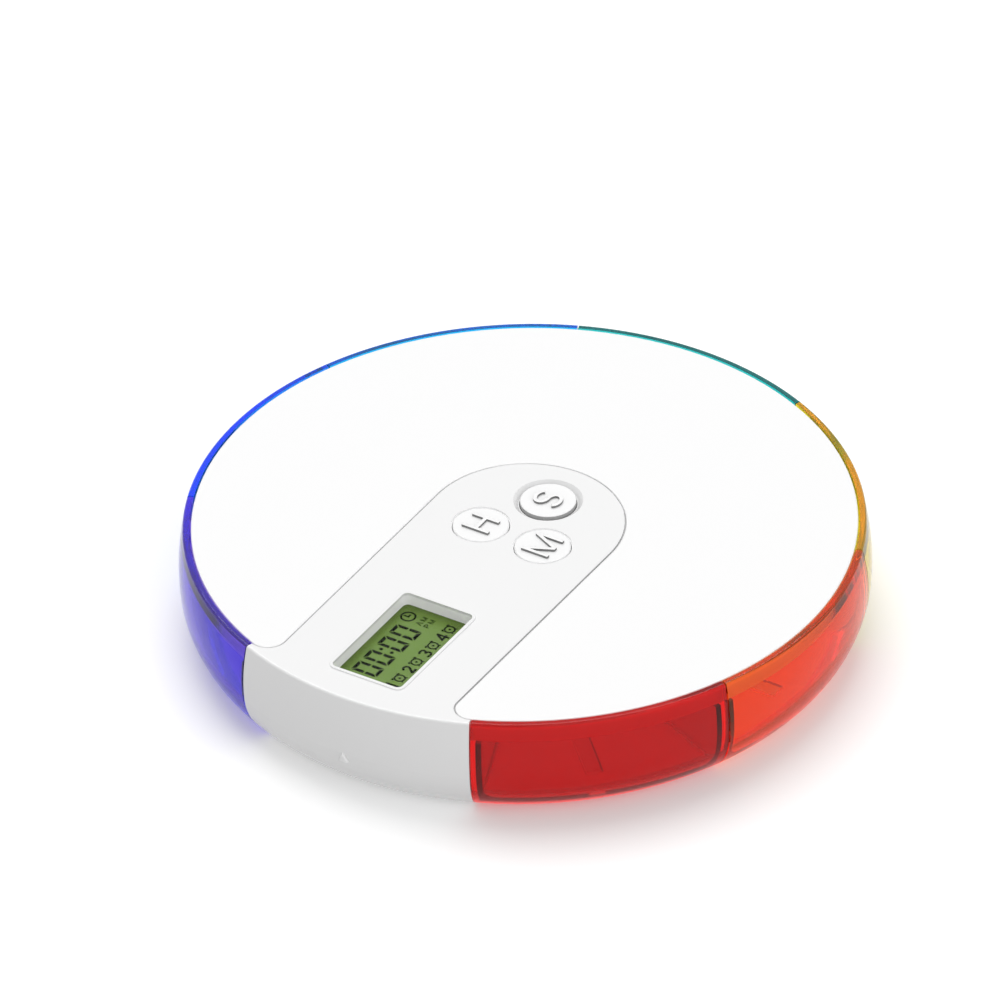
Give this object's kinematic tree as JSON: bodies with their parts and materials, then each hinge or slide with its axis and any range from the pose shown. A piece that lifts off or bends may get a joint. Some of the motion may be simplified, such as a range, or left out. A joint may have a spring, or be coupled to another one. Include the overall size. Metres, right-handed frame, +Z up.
{
  "type": "electronic pill box",
  "caption": "Flat round electronic pill box with pull-out translucent drawers round its edge and a clock with a display and keys in the middle.",
  "frame": {"origin": "on the disc's axis, at the level of the feet's undersides", "axes": "+Z up along the disc's axis; the white front with the display faces -Y; +X to the right seen from the front"},
  "size_m": [0.14, 0.14, 0.0243],
  "materials": {
    "plate_white": "gloss white",
    "housing_white": "satin white",
    "tray_white": "moulded white",
    "clear_red": "translucent red",
    "clear_orange": "translucent orange",
    "clear_yellow": "translucent yellow",
    "clear_teal": "translucent teal",
    "clear_light_blue": "translucent light blue",
    "clear_blue": "translucent blue",
    "clear_indigo": "translucent indigo",
    "display_green": "reflective liquid crystal",
    "clear_lens": "clear acrylic",
    "holder_grey": "matte grey",
    "contact_rubber": "matte",
    "board_green": "solder mask",
    "chip_black": "moulded epoxy",
    "switch_black": "moulded",
    "cell_jacket": "printed metal jacket",
    "contact_metal": "nickel plated",
    "screw_steel": "zinc plated",
    "foot_rubber": "soft grey"
  },
  "bodies": {
    "housing": {"top_plate": "plate_white", "upper_housing": "housing_white", "base_tray": "tray_white", "tact_switches": "switch_black", "circuit_board": "board_green", "board_chip": "chip_black", "board_screws": "screw_steel", "buzzer": "chip_black", "lcd_lens": "clear_lens", "lcd_panel": "display_green", "lcd_frame": "holder_grey", "lcd_connectors": "contact_rubber", "battery_cells": "cell_jacket", "battery_contacts": "contact_metal", "case_screws": "screw_steel", "rubber_feet": "foot_rubber"},
    "drawer_red": {"drawer_red": "clear_red"},
    "drawer_orange": {"drawer_orange": "clear_orange"},
    "drawer_yellow": {"drawer_yellow": "clear_yellow"},
    "drawer_teal": {"drawer_teal": "clear_teal"},
    "drawer_light_blue": {"drawer_light_blue": "clear_light_blue"},
    "drawer_blue": {"drawer_blue": "clear_blue"},
    "drawer_indigo": {"drawer_indigo": "clear_indigo"},
    "button_hour": {"button_hour": "housing_white", "plunger_hour": "switch_black"},
    "button_minute": {"button_minute": "housing_white", "plunger_minute": "switch_black"},
    "button_set": {"button_set": "housing_white", "plunger_set": "switch_black"},
    "battery_door": {"battery_door": "tray_white"}
  },
  "joints": [
    {"name": "drawer_red_slide", "type": "slide", "parent": "housing", "child": "drawer_red", "axis": [0.7071, -0.7071, 0], "range_m": [0, 0.042]},
    {"name": "drawer_orange_slide", "type": "slide", "parent": "housing", "child": "drawer_orange", "axis": [1, 0, 0], "range_m": [0, 0.042]},
    {"name": "drawer_yellow_slide", "type": "slide", "parent": "housing", "child": "drawer_yellow", "axis": [0.7071, 0.7071, 0], "range_m": [0, 0.042]},
    {"name": "drawer_teal_slide", "type": "slide", "parent": "housing", "child": "drawer_teal", "axis": [0, 1, 0], "range_m": [0, 0.042]},
    {"name": "drawer_light_blue_slide", "type": "slide", "parent": "housing", "child": "drawer_light_blue", "axis": [-0.7071, 0.7071, 0], "range_m": [0, 0.042]},
    {"name": "drawer_blue_slide", "type": "slide", "parent": "housing", "child": "drawer_blue", "axis": [-1, 0, 0], "range_m": [0, 0.042]},
    {"name": "drawer_indigo_slide", "type": "slide", "parent": "housing", "child": "drawer_indigo", "axis": [-0.7071, -0.7071, 0], "range_m": [0, 0.042]},
    {"name": "button_hour_press", "type": "slide", "parent": "housing", "child": "button_hour", "axis": [0, 0, -1], "range_m": [0, 0.0005], "stiffness_N_per_m": 1500},
    {"name": "button_minute_press", "type": "slide", "parent": "housing", "child": "button_minute", "axis": [0, 0, -1], "range_m": [0, 0.0005], "stiffness_N_per_m": 1500},
    {"name": "button_set_press", "type": "slide", "parent": "housing", "child": "button_set", "axis": [0, 0, -1], "range_m": [0, 0.0005], "stiffness_N_per_m": 1500},
    {"name": "battery_door_release", "type": "slide", "parent": "housing", "child": "battery_door", "axis": [0, 0, -1], "range_m": [0, 0.012]}
  ]
}
